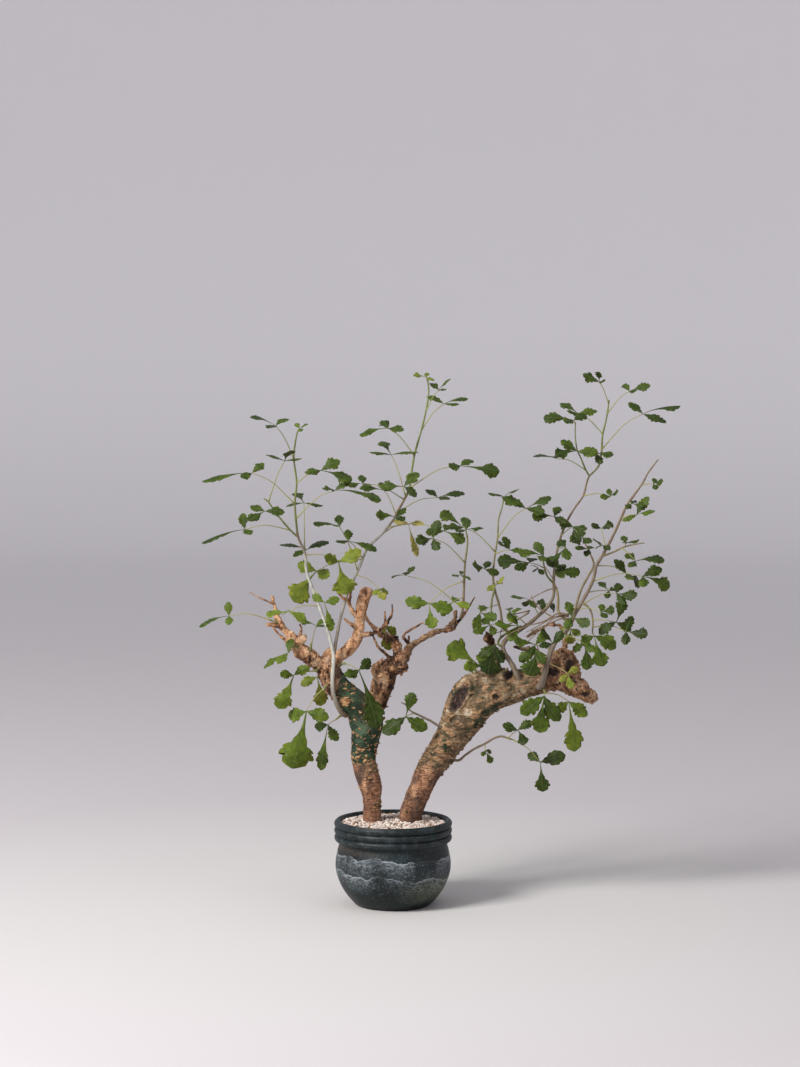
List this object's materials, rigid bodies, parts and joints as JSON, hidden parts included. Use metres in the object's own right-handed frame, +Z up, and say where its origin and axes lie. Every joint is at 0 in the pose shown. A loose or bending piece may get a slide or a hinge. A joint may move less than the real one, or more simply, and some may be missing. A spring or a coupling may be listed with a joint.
{
  "type": "bonsai tree in a pot",
  "caption": "Two-trunked Commiphora campestris bonsai with peeling bark and small three-part leaves, in a round-bellied, ridged dark stoneware pot.",
  "frame": {"origin": "centre of the pot's flat foot, on the surface that it stands on", "axes": "+Z up; +X to the right of the main view, the way that the thicker trunk leans; +Y away from the main view"},
  "size_m": [0.5317, 0.1631, 0.591],
  "materials": {
    "stoneware": "satin",
    "soil": "matte",
    "bark": "matte",
    "leaf": "satin"
  },
  "bodies": {
    "root": {"pot": "stoneware", "soil": "soil", "trunk_left": "bark", "trunk_right": "bark", "shoot_left": "leaf", "shoot_centre": "leaf", "shoot_mid": "leaf", "branch_high": "leaf", "shoot_slim": "leaf", "branch_front": "leaf", "leaves_under": "leaf", "twig_low_right": "leaf", "twig_low_left": "leaf", "leaf_big_low": "leaf", "leaf_low_pair": "leaf", "leaf_left_mid": "leaf", "leaf_behind": "leaf", "leaf_edge_on": "leaf", "leaf_far_left": "leaf", "leaf_over_limb": "leaf", "leaf_at_fork": "leaf", "leaf_above_trunk": "leaf", "leaf_behind_branch": "leaf"}
  },
  "joints": []
}
